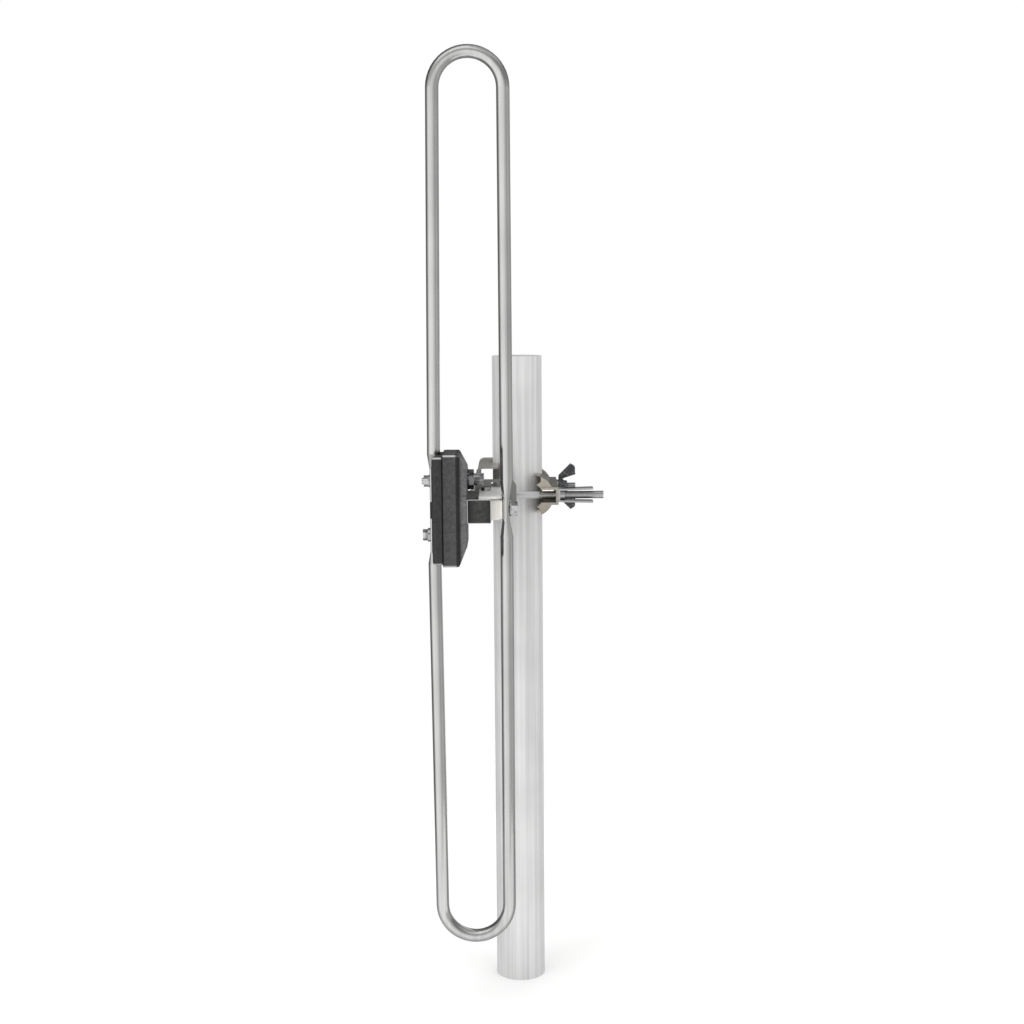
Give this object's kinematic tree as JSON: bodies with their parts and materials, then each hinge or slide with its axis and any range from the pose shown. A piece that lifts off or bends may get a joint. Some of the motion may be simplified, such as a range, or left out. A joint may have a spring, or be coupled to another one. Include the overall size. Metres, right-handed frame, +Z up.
{
  "type": "outdoor tv antenna",
  "caption": "Vertical folded dipole of bent tube with a junction box and short square boom, held on a round mast by a toothed clamp with a thumb nut and a wing nut",
  "frame": {"origin": "on the mast's axis, level with the two clamp bolts", "axes": "+Z up along the mast; +X from the junction box towards the nuts of the clamp; -Y the front, where the dipole stands"},
  "size_m": [0.1479, 0.1605, 0.786],
  "materials": {
    "aluminium_tube": "satin",
    "black_plastic": "fine texture",
    "black_rubber": "matte",
    "board": "solder mask",
    "ferrite": "sintered",
    "copper": "enamelled wire",
    "zinc_steel": "zinc plated",
    "nickel": "nickel plated",
    "white_plastic": "moulded",
    "ivory_plastic": "moulded",
    "gilt": "plated",
    "galvanised_sheet": "galvanised",
    "yellow_zinc": "zinc plated, passivated",
    "dark_zinc": "cast, plated",
    "galvanised_mast": "galvanised, satin"
  },
  "bodies": {
    "mast": {"mast_tube": "galvanised_mast"},
    "antenna": {"dipole_tube": "aluminium_tube", "base_shell": "black_plastic", "cover_shell": "black_plastic", "lid_seal": "black_rubber", "circuit_board": "board", "balun_core": "ferrite", "balun_winding": "copper", "upper_terminal_screw": "zinc_steel", "lower_terminal_screw": "zinc_steel", "upper_terminal_nut": "zinc_steel", "lower_terminal_nut": "zinc_steel", "upper_terminal_washer": "zinc_steel", "lower_terminal_washer": "zinc_steel", "coax_socket": "nickel", "socket_insulator": "ivory_plastic", "socket_contact": "gilt", "socket_washer": "nickel", "socket_nut": "nickel", "boom_tube": "aluminium_tube", "boom_front_plug": "black_plastic", "boom_rear_plug": "black_plastic", "leg_spacer": "white_plastic", "leg_bolt": "zinc_steel", "leg_washer": "zinc_steel", "leg_nut": "zinc_steel", "boom_bracket": "galvanised_sheet", "bracket_screw": "zinc_steel", "bracket_nut": "zinc_steel", "inner_jaw": "yellow_zinc", "near_bolt": "zinc_steel", "far_bolt": "zinc_steel"},
    "outer_jaw": {"outer_jaw": "yellow_zinc", "far_washer": "zinc_steel"},
    "near_nut": {"near_thumb_nut": "zinc_steel"},
    "far_nut": {"far_wing_nut": "dark_zinc"}
  },
  "joints": [
    {"name": "mast_turn", "type": "hinge", "parent": "mast", "child": "antenna", "pos_m": [0, 0, 0], "axis": [0, 0, 1], "continuous": true},
    {"name": "jaw_slide", "type": "slide", "parent": "antenna", "child": "outer_jaw", "axis": [1, 0, 0], "range_m": [0, 0.008]},
    {"name": "near_nut_turn", "type": "hinge", "parent": "outer_jaw", "child": "near_nut", "pos_m": [0, -0.031, 0], "axis": [1, 0, 0], "range_deg": [0, 2881]},
    {"name": "far_nut_turn", "type": "hinge", "parent": "outer_jaw", "child": "far_nut", "pos_m": [0, 0.031, 0], "axis": [1, 0, 0], "range_deg": [0, 2881]}
  ],
  "couplings": [
    {"joint": "near_nut_turn", "follows": "jaw_slide", "rad_per_m": 6283.2},
    {"joint": "far_nut_turn", "follows": "jaw_slide", "rad_per_m": 6283.2}
  ]
}
